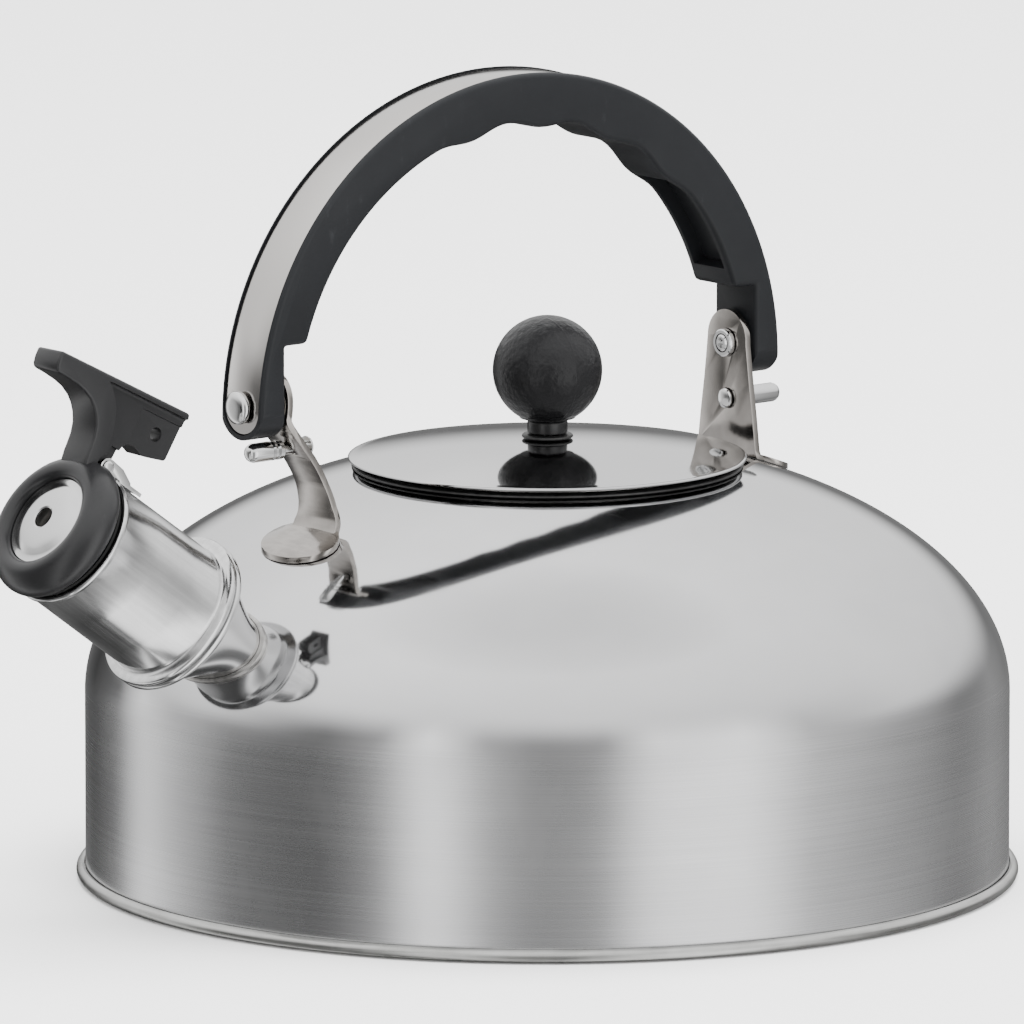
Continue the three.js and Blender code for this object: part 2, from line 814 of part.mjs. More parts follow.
// Front bracket: seen from the spout it narrows at the waist, then flares into the foot.
const frontFootX = 75.2;
const rearFootX = 62.2;
const frontFootZ = domeHeight(frontFootX);
const rearFootZ = domeHeight(rearFootX);
const frontPath = smooth([
  [frontPlateX, bracketTop + 1],
  [frontPlateX, pivotHeight + 2],
  [frontPlateX, pivotHeight - 1.6],
  [frontPlateX + 0.15, pivotHeight - 4.2],
  [-79.2, pivotHeight - 9.2],
  [-74.9, (pivotHeight + frontFootZ) / 2 + 2.9],
  [-71.5, frontFootZ + 14.3],
  [-69.9, frontFootZ + 9.3],
  [-69.6, frontFootZ + 5.7],
  [-71.4, frontFootZ + 1.3],
], 28);
const frontWidths = new THREE.Shape();
frontWidths.moveTo(-8.4, frontFootZ - 6);
frontWidths.lineTo(-7.6, frontFootZ + 4.7);
frontWidths.lineTo(-6.2, frontFootZ + 9.2);
frontWidths.lineTo(-5.4, frontFootZ + 14.7);
frontWidths.lineTo(-5.5, pivotHeight - 13.8);
frontWidths.lineTo(-6.1, pivotHeight - 7.8);
frontWidths.lineTo(-6.9, pivotHeight);
frontWidths.absarc(0, pivotHeight + 1.1, 6.9, Math.PI, 0, true);
frontWidths.lineTo(6.1, pivotHeight - 7.8);
frontWidths.lineTo(5.5, pivotHeight - 13.8);
frontWidths.lineTo(5.4, frontFootZ + 14.7);
frontWidths.lineTo(6.2, frontFootZ + 9.2);
frontWidths.lineTo(7.6, frontFootZ + 4.7);
frontWidths.lineTo(8.4, frontFootZ - 6);
frontWidths.closePath();

const stemFront = toSolid(sideSlab(ribbon(frontPath, bracketSheet), 20))
  .intersect(toSolid(frontSlab(frontWidths, -100, -60)))
  .subtract(domeFootLow);
const footFront = ovalPrism(-frontFootX, 6.6, 12.2).intersect(domeFootHigh).subtract(domeFootLow);
let frontBracket = stemFront.add(footFront).subtract(toSolid(boltHole.clone()));

const rearPath = [
  [rearPlateX, bracketTop + 1],
  [rearPlateX, rearFootZ + 4.0],
  [rearPlateX + 0.5, rearFootZ + 2.5],
  [rearPlateX + 2.4, rearFootZ + 0.7],
];
const rearWidths = new THREE.Shape();
rearWidths.moveTo(-10.6, rearFootZ - 9);
rearWidths.lineTo(-10.5, rearFootZ + 4.1);
rearWidths.lineTo(-9.6, rearFootZ + 11.1);
rearWidths.lineTo(-8.2, pivotHeight - 8.8);
rearWidths.lineTo(-7.0, pivotHeight);
rearWidths.absarc(0, pivotHeight + 1.0, 7.0, Math.PI, 0, true);
rearWidths.lineTo(8.2, pivotHeight - 8.8);
rearWidths.lineTo(9.6, rearFootZ + 11.1);
rearWidths.lineTo(10.5, rearFootZ + 4.1);
rearWidths.lineTo(10.6, rearFootZ - 9);
rearWidths.closePath();
const stemRear = toSolid(sideSlab(ribbon(rearPath, bracketSheet), 26))
  .intersect(toSolid(frontSlab(rearWidths, 40, 80)))
  .subtract(domeFootLow);
const footRear = ovalPrism(rearFootX, 6.8, 12.5).intersect(domeFootHigh).subtract(domeFootLow);
let rearBracket = stemRear.add(footRear).subtract(toSolid(boltHole.clone()));

// stop studs: grooved pins riveted through the brackets, pointing outward
const studHeightFront = pivotHeight - handleWidth / 2 - 3.4;
const studHeightRear = pivotHeight - handleWidth / 2 - 5.7;
const studHole = 1.6;
const studHead = 2.4;

// where the front strap crosses a height, and how far it leans there
function strapAt(path, height) {
  const i = path.findIndex(([, z], k) => k > 0 && z <= height);
  const [ax, az] = path[i - 1];
  const [bx, bz] = path[i];
  const lean = (bx - ax) / (az - bz);
  return [ax + lean * (az - height), lean];
}

const [frontStudX, frontLean] = strapAt(frontPath, studHeightFront);
const frontStand = bracketSheet / 2 * Math.hypot(1, frontLean) + studHead * Math.abs(frontLean) + 2 * gap;

function studProfile(tail, reach) {
  return [
    [0, -tail],
    [2.0, -tail + 0.1],
    [studHead, -tail + 0.5],
    [studHead, -tail + 0.9],
    [studHole - gap, -tail + 0.9],
    [studHole - gap, 0],
    [2.3, 0],
    [2.3, 1.4],
    [1.9, 1.7],
    [2.3, 2.0],
    [2.3, 2.8],
    [1.9, 3.1],
    [2.3, 3.4],
    [2.3, reach - 1.8],
    [1.8, reach - 0.7],
    [1.0, reach - 0.15],
    [0, reach],
  ];
}

const frontStudHole = alongX(rod(studHole, 24, 16), frontStudX, 0, studHeightFront);
frontBracket = frontBracket.subtract(toSolid(frontStudHole));
const rearStudHole = alongX(rod(studHole, 8, 16), rearPlateX, 0, studHeightRear);
rearBracket = rearBracket.subtract(toSolid(rearStudHole));
place('front_bracket', frontBracket, dullSteel);
place('rear_bracket', rearBracket, dullSteel);

place('stop_stud_front', alongX(
  revolve(studProfile(2 * frontStand + 1.2, 10.0), 16),
  frontStudX - frontStand,
  0,
  studHeightFront,
  true,
), steel);
place('stop_stud_rear', alongX(
  revolve(studProfile(bracketSheet + 2 * gap + 0.9, 14.0), 16),
  rearPlateX + bracketSheet / 2 + gap,
  0,
  studHeightRear,
), steel);

// ---- pivots

const stripFace = archHalfSpan + gap;
const ends = [
  { label: 'front', way: -1, plate: Math.abs(frontPlateX - archCentreX) },
  { label: 'rear', way: 1, plate: Math.abs(rearPlateX - archCentreX) },
];
for (const end of ends) {
  const inner = end.plate - bracketSheet / 2;
  const flip = end.way < 0;
  place(`pivot_bolt_${end.label}`, alongX(revolve([
    [0, inner - 1.9],
    [boltRadius - 0.3, inner - 1.9],
    [boltRadius, inner - 1.6],
    [boltRadius, stripFace],
    [3.95, stripFace],
    [3.95, stripFace + 0.9],
    [3.3, stripFace + 1.7],
    [2.2, stripFace + 2.0],
    [0, stripFace + 2.1],
  ], 18), archCentreX, 0, pivotHeight, flip), steel);
  place(`pivot_washer_${end.label}`, alongX(revolve(closed([
    [boltRadius + gap, inner + bracketSheet + gap],
    [5.6, inner + bracketSheet + gap],
    [5.6, inner + bracketSheet + gap + 0.6],
    [boltRadius + gap, inner + bracketSheet + gap + 0.6],
  ]), 18), archCentreX, 0, pivotHeight, flip), dullSteel);
  place(`pivot_nut_${end.label}`, alongX(revolve(closed([
    [boltRadius + gap, inner - gap - 1.3],
    [3.1, inner - gap - 1.3],
    [3.4, inner - gap - 1.0],
    [3.4, inner - gap],
    [boltRadius + gap, inner - gap],
  ]), 18), archCentreX, 0, pivotHeight, flip), dullSteel);
}

export default kettle;
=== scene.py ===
import math

import bpy
from mathutils import Matrix, Vector


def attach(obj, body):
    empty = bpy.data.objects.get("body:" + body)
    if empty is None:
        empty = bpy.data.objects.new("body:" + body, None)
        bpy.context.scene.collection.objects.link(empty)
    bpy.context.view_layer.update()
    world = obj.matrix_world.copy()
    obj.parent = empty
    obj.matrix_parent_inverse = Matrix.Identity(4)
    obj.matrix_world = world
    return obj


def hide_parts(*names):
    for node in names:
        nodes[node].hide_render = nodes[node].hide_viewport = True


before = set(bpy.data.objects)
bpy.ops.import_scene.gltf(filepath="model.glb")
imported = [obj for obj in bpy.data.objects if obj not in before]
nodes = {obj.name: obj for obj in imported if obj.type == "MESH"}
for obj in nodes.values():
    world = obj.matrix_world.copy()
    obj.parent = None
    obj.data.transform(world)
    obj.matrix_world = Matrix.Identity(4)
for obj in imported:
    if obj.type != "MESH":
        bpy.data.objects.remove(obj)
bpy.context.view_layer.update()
print("stage: frame loaded,", len(nodes), "nodes")

mm = 0.001


# small modelling helpers

def clearSelection():
    if bpy.context.object and bpy.context.object.mode != "OBJECT":
        bpy.ops.object.mode_set(mode="OBJECT")
    bpy.ops.object.select_all(action="DESELECT")


def makeActive(piece):
    clearSelection()
    piece.select_set(True)
    bpy.context.view_layer.objects.active = piece


def startVertex(name, point):
    # a plane merged to its centre leaves the first point of an outline
    clearSelection()
    bpy.ops.mesh.primitive_plane_add(size=0.002, location=(0, 0, 0))
    piece = bpy.context.object
    piece.name = name
    piece.data.name = name
    bpy.ops.object.mode_set(mode="EDIT")
    bpy.ops.mesh.select_mode(type="VERT")
    bpy.ops.mesh.select_all(action="SELECT")
    bpy.ops.mesh.merge(type="CENTER")
    bpy.ops.transform.translate(value=tuple(c * mm for c in point))
    return piece


def traceOutline(name, points, close):
    piece = startVertex(name, points[0])
    for before, after in zip(points, points[1:]):
        step = tuple((b - a) * mm for a, b in zip(before, after))
        bpy.ops.mesh.extrude_vertices_move(TRANSFORM_OT_translate={"value": step})
    if close:
        bpy.ops.object.mode_set(mode="OBJECT")
        for v in piece.data.vertices:
            v.select = v.index in (0, len(points) - 1)
        bpy.ops.object.mode_set(mode="EDIT")
        bpy.ops.mesh.edge_face_add()
    bpy.ops.mesh.select_all(action="SELECT")
    return piece


def tidyMesh(piece, gap=0.004):
    makeActive(piece)
    bpy.ops.object.mode_set(mode="EDIT")
    bpy.ops.mesh.select_all(action="SELECT")
    bpy.ops.mesh.remove_doubles(threshold=gap * mm)
    bpy.ops.mesh.normals_make_consistent(inside=False)
    bpy.ops.object.mode_set(mode="OBJECT")


def applyModifier(piece, modifier):
    makeActive(piece)
    bpy.ops.object.modifier_apply(modifier=modifier.name)


def softenEdges(piece, width, segments=2, angle=32):
    bevel = piece.modifiers.new("softEdges", "BEVEL")
    bevel.width = width * mm
    bevel.segments = segments
    bevel.limit_method = "ANGLE"
    bevel.angle_limit = math.radians(angle)
    bevel.use_clamp_overlap = True
    applyModifier(piece, bevel)


def smoothShade(piece, angle=32):
    makeActive(piece)
    bpy.ops.object.shade_smooth_by_angle(angle=math.radians(angle))


def combine(piece, tool, operation):
    joinery = piece.modifiers.new("joinery", "BOOLEAN")
    joinery.operation = operation
    joinery.object = tool
    joinery.solver = "MANIFOLD"
    applyModifier(piece, joinery)
    bpy.data.objects.remove(tool)


def carry(piece, matrix):
    makeActive(piece)
    piece.matrix_world = matrix
    bpy.ops.object.transform_apply(location=True, rotation=True, scale=True)


def turned(name, profile, steps=96, place=None, soften=0.0, close=True):
    # profile is [radius, height]; it is spun about the vertical axis
    points = [(r, 0, h) for r, h in profile]
    piece = traceOutline(name, points, close)
    bpy.ops.mesh.spin(steps=steps, angle=math.tau, center=(0, 0, 0), axis=(0, 0, 1))
    bpy.ops.object.mode_set(mode="OBJECT")
    tidyMesh(piece)
    if soften:
        softenEdges(piece, soften)
    if place is not None:
        carry(piece, place)
    smoothShade(piece)
    return piece


def slabPiece(name, outline, depth, place=None, soften=0.0, segments=3, angle=32):
    # outline lies in the local X-Z plane, depth runs along Y and is centred
    points = [(a, -depth / 2, b) for a, b in outline]
    piece = traceOutline(name, points, True)
    bpy.ops.mesh.edge_face_add()
    bpy.ops.mesh.extrude_region_move(TRANSFORM_OT_translate={"value": (0, depth * mm, 0)})
    bpy.ops.object.mode_set(mode="OBJECT")
    tidyMesh(piece)
    if soften:
        softenEdges(piece, soften, segments, angle)
    if place is not None:
        carry(piece, place)
    return piece


def barPiece(name, radius, length, place, vertices=48):
    clearSelection()
    bpy.ops.mesh.primitive_cylinder_add(vertices=vertices, radius=radius * mm, depth=length * mm)
    piece = bpy.context.object
    piece.name = name
    carry(piece, place)
    return piece


def refinedCopy(name, nodeName, soften, segments=2, angle=32, smooth=35):
    # a merged copy of the solid, its flats made whole and its edges eased
    piece = nodes[nodeName].copy()
    piece.data = nodes[nodeName].data.copy()
    piece.name = name
    piece.data.name = name
    piece.parent = None
    for key in list(piece.keys()):
        del piece[key]
    bpy.context.scene.collection.objects.link(piece)
    makeActive(piece)
    piece.data.materials.clear()
    if piece.data.has_custom_normals:
        bpy.ops.mesh.customdata_custom_splitnormals_clear()
    bpy.ops.object.mode_set(mode="EDIT")
    bpy.ops.mesh.select_all(action="SELECT")
    bpy.ops.mesh.remove_doubles(threshold=0.003 * mm)
    bpy.ops.mesh.dissolve_limited(angle_limit=math.radians(0.6))
    bpy.ops.mesh.normals_make_consistent(inside=False)
    bpy.ops.object.mode_set(mode="OBJECT")
    if soften:
        softenEdges(piece, soften, segments, angle)
    smoothShade(piece, smooth)
    return piece


def finishPiece(piece, body, slotName, look, *replaced):
    piece.data.materials.clear()
    piece.data.materials.append(look)
    for face in piece.data.polygons:
        face.material_index = 0
    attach(piece, body)
    if replaced:
        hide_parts(*replaced)
    return piece


# shader expressions

class Signal:
    # a shader value that can be used in plain arithmetic
    def __init__(self, finish, socket):
        self.finish = finish
        self.socket = socket

    def combined(self, operation, other, swap=False):
        pair = (other, self) if swap else (self, other)
        return self.finish.node("ShaderNodeMath", {"operation": operation}, {0: pair[0], 1: pair[1]})

    def __add__(self, other):
        return self.combined("ADD", other)

    def __radd__(self, other):
        return self.combined("ADD", other, True)

    def __sub__(self, other):
        return self.combined("SUBTRACT", other)

    def __rsub__(self, other):
        return self.combined("SUBTRACT", other, True)

    def __mul__(self, other):
        return self.combined("MULTIPLY", other)

    def __rmul__(self, other):
        return self.combined("MULTIPLY", other, True)

    def __truediv__(self, other):
        return self.combined("DIVIDE", other)


class Finish:
    # builds one node material
    def __init__(self, name, world=None):
        if world is None:
            self.material = bpy.data.materials.new(name)
            self.material.use_nodes = True
            self.tree = self.material.node_tree
            self.tree.nodes.clear()
            self.out = self.tree.nodes.new("ShaderNodeOutputMaterial")
            self.shader = self.tree.nodes.new("ShaderNodeBsdfPrincipled")
            self.tree.links.new(self.shader.outputs[0], self.out.inputs["Surface"])
        else:
            self.tree = world.node_tree
            self.tree.nodes.clear()

    def node(self, kind, settings=None, values=None, output=0):
        made = self.tree.nodes.new(kind)
        for key, value in (settings or {}).items():
            if key == "stops":
                ramp = made.color_ramp
                while len(ramp.elements) > 1:
                    ramp.elements.remove(ramp.elements[-1])
                for i, (where, tone) in enumerate(value):
                    stop = ramp.elements[0] if i == 0 else ramp.elements.new(where)
                    stop.position = where
                    stop.color = tone if isinstance(tone, tuple) else (tone, tone, tone, 1)
            else:
                setattr(made, key, value)
        for key, value in (values or {}).items():
            self.feed(made.inputs[key], value)
        return Signal(self, made.outputs[output])

    def feed(self, socket, value):
        if isinstance(value, Signal):
            self.tree.links.new(value.socket, socket)
        elif isinstance(value, (tuple, list)) and socket.type == "RGBA" and len(value) == 3:
            socket.default_value = (*value, 1)
        else:
            socket.default_value = value

    def place(self, scale=(1, 1, 1), turn=(0, 0, 0), shift=(0, 0, 0)):
        # turned first, then stretched
        spot = self.node("ShaderNodeTexCoord", output="Object")
        if any(turn):
            spot = self.node("ShaderNodeMapping", None, {"Vector": spot, "Rotation": turn})
        return self.node("ShaderNodeMapping", None, {
            "Vector": spot, "Scale": scale, "Location": shift})

    def axes(self):
        spot = self.node("ShaderNodeTexCoord", output="Object")
        split = self.node("ShaderNodeSeparateXYZ", None, {0: spot})
        outputs = split.socket.node.outputs
        return [Signal(self, outputs[i]) for i in range(3)]

    def noise(self, scale, stretch=(1, 1, 1), turn=(0, 0, 0), detail=3.0, rough=0.5):
        return self.node("ShaderNodeTexNoise", None, {
            "Vector": self.place(stretch, turn), "Scale": scale, "Detail": detail, "Roughness": rough})

    def ramp(self, value, stops):
        return self.node("ShaderNodeValToRGB", {"stops": stops}, {0: value})

    def range(self, value, low, high, outLow=0.0, outHigh=1.0):
        return self.node("ShaderNodeMapRange", {"interpolation_type": "SMOOTHSTEP"}, {
            "Value": value, "From Min": low, "From Max": high, "To Min": outLow, "To Max": outHigh})

    def mixTones(self, factor, dark, light):
        return self.node("ShaderNodeMix", {"data_type": "RGBA"}, {0: factor, 6: dark, 7: light}, output=2)

    def bump(self, height, strength, depth, normal=None):
        values = {"Height": height, "Strength": strength, "Distance": depth * mm}
        if normal is not None:
            values["Normal"] = normal
        return self.node("ShaderNodeBump", None, values)

    def set(self, **values):
        for key, value in values.items():
            self.feed(self.shader.inputs[key.replace("_", " ")], value)
        return self.material


def shellSteel():
    # satin spun wall below, polished crown above
    look = {
        "satinEnd": 0.046,
        "polishStart": 0.056,
        "satinRough": 0.27,
        "polishRough": 0.06,
        "stretch": 0.6,
        "dark": (0.46, 0.46, 0.465),
        "light": (0.58, 0.58, 0.585),
    }
    f = Finish("shellSteel")
    z = f.axes()[2]
    rise = f.range(z, look["satinEnd"], look["polishStart"])
    spun = f.noise(1.0, (14, 14, 5200), detail=2.0)
    drift = f.noise(9.0, (1, 1, 2.2), detail=4.0)
    handling = f.noise(46.0, (1, 1, 0.55), detail=6.0, rough=0.62)
    haze = f.range(handling, 0.48, 0.78)
    rough = look["satinRough"] * (1 - rise) + look["polishRough"] * rise
    satin = 1 - rise
    rough = rough + (spun - 0.5) * 0.07 * satin + (drift - 0.5) * 0.05 + haze * 0.035
    tone = f.mixTones(f.range(drift + (spun - 0.5) * 0.4 * satin, 0.3, 0.75),
                      look["dark"], look["light"])
    lines = f.bump(spun * satin, 0.06, 0.015)
    waves = f.bump(f.noise(16.0, (1, 1, 1.4), detail=1.0), 0.16, 0.35, lines)
    return f.set(Base_Color=tone, Metallic=1.0, Roughness=rough, Anisotropic=look["stretch"],
                 Anisotropic_Rotation=0.25, Normal=waves)


def polishedSteel(name, rough=0.08, dark=(0.44, 0.44, 0.445), light=(0.55, 0.55, 0.55), wave=0.10):
    f = Finish(name)
    smear = f.noise(70.0, detail=5.0, rough=0.6)
    drift = f.noise(14.0, detail=2.0)
    tone = f.mixTones(f.range(drift, 0.3, 0.7), dark, light)
    return f.set(Base_Color=tone, Metallic=1.0,
                 Roughness=rough + f.range(smear, 0.45, 0.8) * 0.06,
                 Normal=f.bump(drift, wave, 0.25))


def brushedSteel(name, stretch, turn=(0, 0, 0), rough=0.3, dark=(0.36, 0.35, 0.34),
                 light=(0.58, 0.57, 0.55), depth=0.03):
    f = Finish(name)
    grain = f.noise(1.0, stretch, turn, detail=3.0)
    stain = f.noise(120.0, detail=5.0, rough=0.6)
    tone = f.mixTones(f.range(grain * 0.6 + stain * 0.4, 0.32, 0.68), dark, light)
    return f.set(Base_Color=tone, Metallic=1.0,
                 Roughness=rough + (grain - 0.5) * 0.16 + (stain - 0.5) * 0.10,
                 Normal=f.bump(grain, 0.25, depth))


def mouldedPlastic(name, tone=(0.008, 0.0085, 0.0095), rough=0.34, pebble=0.0,
                   parting=False, shine=0.13):
    f = Finish(name)
    grain = f.noise(2600.0, detail=2.0)
    cloud = f.noise(60.0, detail=4.0)
    scuff = f.range(f.noise(340.0, (1, 1, 0.3), detail=6.0, rough=0.7), 0.60, 0.78)
    pale = tuple(min(1.0, c * 2.1 + 0.006) for c in tone)
    colour = f.mixTones(scuff * 0.55 + cloud * 0.25, tone, pale)
    height = grain * 0.25
    if pebble:
        stones = f.noise(pebble, detail=3.0, rough=0.55)
        height = height + stones * 9.0
    if parting:
        x = f.axes()[0]
        seam = f.node("ShaderNodeMath", {"operation": "ABSOLUTE"}, {0: x + 0.0016})
        height = height + f.range(seam, 0.00008, 0.00034, 0.9, 0.0)
    return f.set(Base_Color=colour, Roughness=rough + cloud * 0.10 + scuff * 0.10,
                 Specular_IOR_Level=shine, Normal=f.bump(height, 0.42, 0.12))


spoutTilt = math.radians(35.4)
looks = {
    "shell": shellSteel(),
    "lid": polishedSteel("lidSteel", 0.06),
    "bright": polishedSteel("brightSteel", 0.12, (0.52, 0.52, 0.52), (0.70, 0.70, 0.69), 0.06),
    "stripMirror": polishedSteel("stripSteel", 0.13, (0.40, 0.385, 0.37), (0.52, 0.505, 0.49), 0.05),
    "seam": brushedSteel("seamSteel", (60, 60, 1500), rough=0.30, dark=(0.30, 0.30, 0.29),
                         light=(0.44, 0.44, 0.43)),
    "sleeve": brushedSteel("sleeveSteel", (40, 700, 700), (0, -spoutTilt, 0), 0.15,
                           (0.50, 0.50, 0.50), (0.62, 0.62, 0.62), 0.003),
    "neck": polishedSteel("neckSteel", 0.14, (0.42, 0.42, 0.42), (0.56, 0.56, 0.56)),
    "weld": brushedSteel("weldSteel", (500, 500, 500), rough=0.36),
    "bracket": brushedSteel("bracketSteel", (700, 160, 90), rough=0.17, dark=(0.25, 0.235, 0.22),
                            light=(0.34, 0.32, 0.30), depth=0.01),
    # painted shade: near-black steel for the filling collar and the knob washer, standing in for the dark
    # gap under the lid rim and under the knob
    "collar": brushedSteel("collarPaintedShadeSteel", (420, 420, 420), rough=0.5, dark=(0.04, 0.04, 0.04),
                           light=(0.07, 0.07, 0.07)),
    "dull": brushedSteel("dullSteel", (420, 420, 420), rough=0.30),
    "grip": mouldedPlastic("gripPlastic"),
    "lever": mouldedPlastic("leverPlastic", (0.006, 0.006, 0.0065), 0.27, shine=0.36),
    "knob": mouldedPlastic("knobPlastic", (0.005, 0.005, 0.0055), 0.27, 430.0, True, 0.20),
    "seal": mouldedPlastic("sealRubber", (0.006, 0.006, 0.006), 0.6),
}
print("stage: finishes made")


# camera and studio

studio = {
    "target": (-6.48, 5.34, 86.8),
    "heading": (0.6267, 0.7602, -0.1712),
    "distance": 4000.0,
    "lens": 593.4,
    "floorSize": 3.4,
    "worldStrength": 2.1,
    "backdrop": 4.0,
    "topBoxPower": 190,
    "sideBoxPower": 20,
}


def placeCamera():
    aim = Vector(studio["target"]) * mm
    heading = Vector(studio["heading"]).normalized()
    lensData = bpy.data.cameras.new("studioCamera")
    camera = bpy.data.objects.new("studioCamera", lensData)
    bpy.context.scene.collection.objects.link(camera)
    camera.location = aim - heading * studio["distance"] * mm
    camera.rotation_euler = heading.to_track_quat("-Z", "Y").to_euler()
    lensData.lens = studio["lens"]
    lensData.sensor_width = 36.0
    lensData.clip_end = 200.0
    bpy.context.scene.camera = camera


def softBox(name, location, aim, size, power):
    data = bpy.data.lights.new(name, "AREA")
    data.shape = "RECTANGLE"
    data.size, data.size_y = size
    data.energy = power
    box = bpy.data.objects.new(name, data)
    bpy.context.scene.collection.objects.link(box)
    box.location = location
    box.rotation_euler = (Vector(aim) - Vector(location)).to_track_quat("-Z", "Y").to_euler()
    box.visible_glossy = False


def lightStudio():
    # the room: pale all round, with darker and brighter upright bands near the horizon
    world = bpy.data.worlds.new("studioRoom")
    bpy.context.scene.world = world
    world.use_nodes = True
    f = Finish("room", world)
    direction = f.node("ShaderNodeTexCoord", output="Generated")
    split = f.node("ShaderNodeSeparateXYZ", None, {0: direction})
    parts = [Signal(f, split.socket.node.outputs[i]) for i in range(3)]
    angle = f.node("ShaderNodeMath", {"operation": "ARCTAN2"}, {0: parts[1], 1: parts[0]})
    # turned so that 0 is straight behind the camera
    behind = math.atan2(-studio["heading"][1], -studio["heading"][0])
    turn = (angle - behind) / math.tau + 1.5
    turn = f.node("ShaderNodeMath", {"operation": "FRACT"}, {0: turn})
    bands = f.ramp(turn, [
        (0.00, 0.10), (0.07, 0.04), (0.13, 0.12), (0.165, 1.05), (0.205, 0.50),
        (0.26, 0.12), (0.34, 0.08), (0.385, 0.26), (0.418, 1.50), (0.455, 0.40),
        (0.49, 0.20), (0.54, 0.26), (0.575, 1.30), (0.64, 1.50), (0.69, 0.55),
        (0.76, 0.30), (0.84, 0.14), (0.90, 0.22), (0.95, 0.12), (1.00, 0.10)])
    facing = parts[0] * math.cos(behind) + parts[1] * math.sin(behind)
    front = f.range(facing, -0.2, 0.6)
    highFar = f.range(parts[2], 0.0, 0.22)
    highNear = f.range(parts[2], 0.14, 0.56)
    high = highFar + (highNear - highFar) * front
    ceiling = f.ramp(parts[2], [(0.0, 0.62), (0.2, 0.78), (0.45, 0.95), (0.7, 1.1),
                                (0.88, 1.2), (1.0, 0.95)])
    colour = f.mixTones(high, bands, ceiling)
    ray = f.node("ShaderNodeLightPath", output="Is Camera Ray")
    white = studio["backdrop"]
    shown = f.mixTones(ray, colour, (white, white, white))
    room = f.node("ShaderNodeBackground", None, {"Color": shown, "Strength": studio["worldStrength"]})
    out = f.tree.nodes.new("ShaderNodeOutputWorld")
    f.tree.links.new(room.socket, out.inputs["Surface"])
    softBox("topBox", (0.3, -0.2, 2.6), (0, 0, 0.1), (2.4, 2.4), studio["topBoxPower"])
    softBox("sideBox", (1.0, -1.7, 1.0), (0, 0, 0.1), (0.7, 1.2), studio["sideBoxPower"])

    clearSelection()
    bpy.ops.mesh.primitive_plane_add(size=studio["floorSize"], location=(0, 0, -0.0002))
    floor = bpy.context.object
    floor.name = "studioFloor"
    pale = Finish("floorPaper")
    mottle = pale.noise(3.0, detail=2.0)
    floor.data.materials.append(pale.set(
        Base_Color=pale.mixTones(mottle, (0.88, 0.88, 0.88), (0.90, 0.90, 0.90)), Roughness=0.7))
    floor.visible_glossy = False


placeCamera()
lightStudio()
print("stage: camera and studio placed")


# body of the kettle

body = {
    "radius": 109.8,
    "wallTop": 44.6,
    "domeRise": 58.6,
    "sheet": 0.8,
    "seamRadius": 112.0,
    "openingRadius": 46.4,
    "steps": 224,
    "collarInset": 2.8,
    "collarDepth": 8.7,
    "strainerRadius": 2.0,
    "strainerPitch": 5.0,
    "strainerRowPitch": 4.7,
    "gap": 0.3,
}


def domePoint(t, offset=0.0):
    nr = math.cos(t) / body["radius"]
    nz = math.sin(t) / body["domeRise"]
    size = math.hypot(nr, nz)
    return [body["radius"] * math.cos(t) + offset * nr / size,
            body["wallTop"] + body["domeRise"] * math.sin(t) + offset * nz / size]


openingAngle = math.acos(body["openingRadius"] / body["radius"])
rimHeight = domePoint(openingAngle)[1]


def domeCurve(offset, tEnd, steps):
    return [domePoint(tEnd * i / steps, offset) for i in range(steps + 1)]


def domeBlock(name, offset):
    # a solid dome, used to cut or keep what meets the shell
    curve = domeCurve(offset, math.pi / 2, 48)
    curve[-1][0] = 0.0
    return turned(name, [[0.0, 20.0], [curve[0][0], 20.0], *curve], 160, close=False)


spoutAxis = Vector((-math.cos(spoutTilt), 0, math.sin(spoutTilt)))
spoutAcross = Vector((math.sin(spoutTilt), 0, math.cos(spoutTilt)))
spoutStart = Vector((-101.6, 0, 67.0)) * mm
sideways = Vector((0, 1, 0))


def frameMatrix(xAxis, yAxis, zAxis, origin):
    m = Matrix.Identity(4)
    for i, axis in enumerate((xAxis, yAxis, zAxis)):
        for j in range(3):
            m[j][i] = axis[j]
    for j in range(3):
        m[j][3] = origin[j]
    return m


# turned pieces: local Z is along the spout; slabs: local X along it, local Z across it
onSpout = frameMatrix(spoutAcross, sideways, spoutAxis, spoutStart)
inSpout = frameMatrix(spoutAxis, -sideways, spoutAcross, spoutStart)


def spoutBar(name, radius, s, n, y0, y1, vertices=48):
    spot = spoutStart + spoutAxis * s * mm + spoutAcross * n * mm + sideways * (y0 + y1) / 2 * mm
    return barPiece(name, radius, y1 - y0, frameMatrix(spoutAxis, spoutAcross, sideways, spot), vertices)


def makeShell():
    outer = domeCurve(0, openingAngle, 72)
    inner = list(reversed(domeCurve(-body["sheet"], openingAngle, 36)))
    wall = body["radius"]
    wallInner = wall - body["sheet"]
    low = [[wall, 1.9], [wall, 12.0], [wall, 28.0]]
    lowInner = [[wallInner, 28.0], [wallInner, 1.9]]
    shell = turned("kettleShell", low + outer + inner + lowInner, body["steps"])
    for row, columns in ((-1, (-1, 1)), (0, (-2, -1, 0, 1, 2)), (1, (-1, 1))):
        for column in columns:
            spot = (spoutStart + spoutAcross * row * body["strainerRowPitch"] * mm
                    + sideways * column * body["strainerPitch"] * mm)
            drill = barPiece("strainerDrill", body["strainerRadius"], 30,
                             frameMatrix(spoutAcross, sideways, spoutAxis, spot), 24)
            combine(shell, drill, "DIFFERENCE")
    smoothShade(shell)
    finishPiece(shell, "kettle", "polished_steel", looks["shell"], "body_wall", "body_dome")


